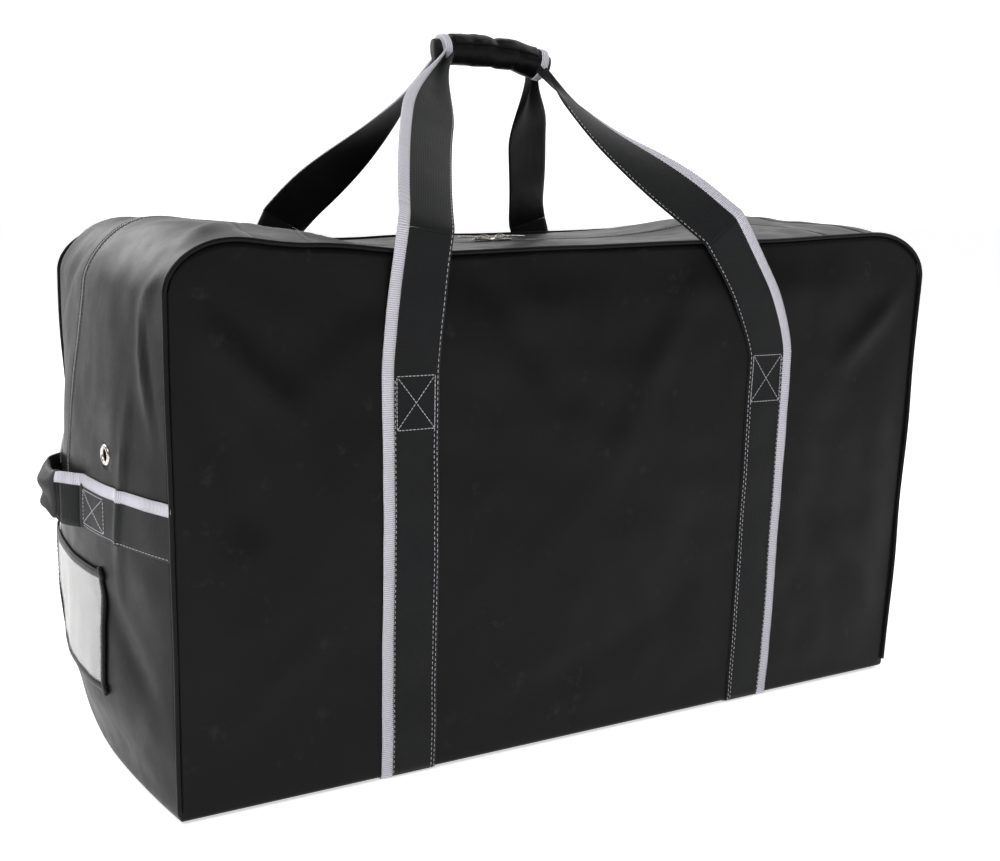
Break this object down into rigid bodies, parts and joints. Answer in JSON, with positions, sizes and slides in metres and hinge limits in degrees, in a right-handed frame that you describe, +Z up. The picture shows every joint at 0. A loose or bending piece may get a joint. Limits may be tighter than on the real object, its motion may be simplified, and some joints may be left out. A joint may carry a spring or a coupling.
{
  "type": "hockey equipment bag",
  "caption": "Box-shaped black vinyl duffel with white strap edging, a zip over the top and down both ends, a wrapped carry grip and end handles.",
  "frame": {"origin": "centre of the bag's footprint, on the surface it stands on", "axes": "+X along the length towards the right end, +Y towards the back, +Z up; the front face looks towards -Y"},
  "size_m": [1.0232, 0.4696, 0.7368],
  "materials": {
    "vinyl": "satin",
    "webbing": "satin",
    "white_tape": "matte",
    "zip_tape": "matte",
    "zip_coil": "satin",
    "nickel": "polished",
    "thread": "matte",
    "clear_vinyl": "gloss",
    "card": "matte",
    "grey_wrap": "matte"
  },
  "bodies": {
    "bag": {"front_panel": "vinyl", "back_panel": "vinyl", "bottom_panel": "vinyl", "left_end_panel": "vinyl", "right_end_panel": "vinyl", "left_front_gusset": "vinyl", "left_back_gusset": "vinyl", "right_front_gusset": "vinyl", "right_back_gusset": "vinyl", "front_piping": "vinyl", "back_piping": "vinyl", "end_zip_tapes": "zip_tape", "end_zip_coils": "zip_coil", "zip_bottom_stops": "zip_coil", "left_front_strap": "webbing", "left_back_strap": "webbing", "left_bottom_strap": "webbing", "right_front_strap": "webbing", "right_back_strap": "webbing", "right_bottom_strap": "webbing", "strap_edge_tapes": "white_tape", "strap_box_stitching": "thread", "left_end_strap": "webbing", "right_end_strap": "webbing", "left_end_handle_roots": "webbing", "right_end_handle_roots": "webbing", "left_end_edge_tape": "white_tape", "right_end_edge_tape": "white_tape", "card_window": "clear_vinyl", "card_window_binding": "vinyl", "card_window_top_binding": "vinyl", "grommets": "nickel", "grommet_washers": "nickel"},
    "front_flap": {"front_top_flap": "vinyl", "front_zip_tape": "zip_tape", "front_zip_coil": "zip_coil"},
    "back_flap": {"back_top_flap": "vinyl", "back_zip_tape": "zip_tape", "back_zip_coil": "zip_coil"},
    "left_slider": {"left_zip_slider": "nickel"},
    "left_tab": {"left_pull_tab": "nickel"},
    "right_slider": {"right_zip_slider": "nickel"},
    "right_tab": {"right_pull_tab": "nickel"},
    "carry_handle": {"strap_bundle": "webbing", "grip_sleeve": "vinyl", "grip_end_bindings": "white_tape", "left_front_leg": "webbing", "left_back_leg": "webbing", "right_front_leg": "webbing", "right_back_leg": "webbing", "leg_edge_tapes": "white_tape"},
    "grip_closure": {"grip_flap": "vinyl"},
    "left_handle": {"left_end_handle": "webbing", "left_handle_edge_tape": "white_tape", "left_end_handle_wrap": "grey_wrap"},
    "right_handle": {"right_end_handle": "webbing", "right_handle_edge_tape": "white_tape", "right_end_handle_wrap": "grey_wrap"},
    "card": {"name_card": "card"}
  },
  "joints": [
    {"name": "front_flap_fold", "type": "hinge", "parent": "bag", "child": "front_flap", "pos_m": [0, -0.2285, 0.519], "axis": [1, 0, 0], "range_deg": [-80, 0]},
    {"name": "back_flap_fold", "type": "hinge", "parent": "bag", "child": "back_flap", "pos_m": [0, 0.2285, 0.519], "axis": [1, 0, 0], "range_deg": [0, 80]},
    {"name": "left_slider_slide", "type": "slide", "parent": "bag", "child": "left_slider", "axis": [-1, 0, 0], "range_m": [0, 0.363]},
    {"name": "left_tab_turn", "type": "hinge", "parent": "left_slider", "child": "left_tab", "pos_m": [-0.0125, 0, 0.5227], "axis": [0, 1, 0], "range_deg": [0, 120]},
    {"name": "right_slider_slide", "type": "slide", "parent": "bag", "child": "right_slider", "axis": [1, 0, 0], "range_m": [0, 0.363]},
    {"name": "right_tab_turn", "type": "hinge", "parent": "right_slider", "child": "right_tab", "pos_m": [0.0125, 0, 0.5227], "axis": [0, -1, 0], "range_deg": [0, 120]},
    {"name": "carry_handle_drop", "type": "slide", "parent": "bag", "child": "carry_handle", "axis": [0, 0, -1], "range_m": [0, 0.17], "deforming": ["left_front_leg", "left_back_leg", "right_front_leg", "right_back_leg", "leg_edge_tapes"]},
    {"name": "grip_closure_open", "type": "hinge", "parent": "carry_handle", "child": "grip_closure", "pos_m": [0, 0.01744, 0.72267], "axis": [1, 0, 0], "range_deg": [-100, 0]},
    {"name": "left_handle_swing", "type": "hinge", "parent": "bag", "child": "left_handle", "pos_m": [-0.4766, 0, 0.2715], "axis": [0, 1, 0], "range_deg": [-30, 30], "deforming": ["left_end_handle_roots", "left_end_edge_tape"]},
    {"name": "right_handle_swing", "type": "hinge", "parent": "bag", "child": "right_handle", "pos_m": [0.4766, 0, 0.2715], "axis": [0, 1, 0], "range_deg": [-30, 30], "deforming": ["right_end_handle_roots", "right_end_edge_tape"]},
    {"name": "name_card_slide", "type": "slide", "parent": "bag", "child": "card", "axis": [0, 0, 1], "range_m": [0, 0.036]}
  ]
}
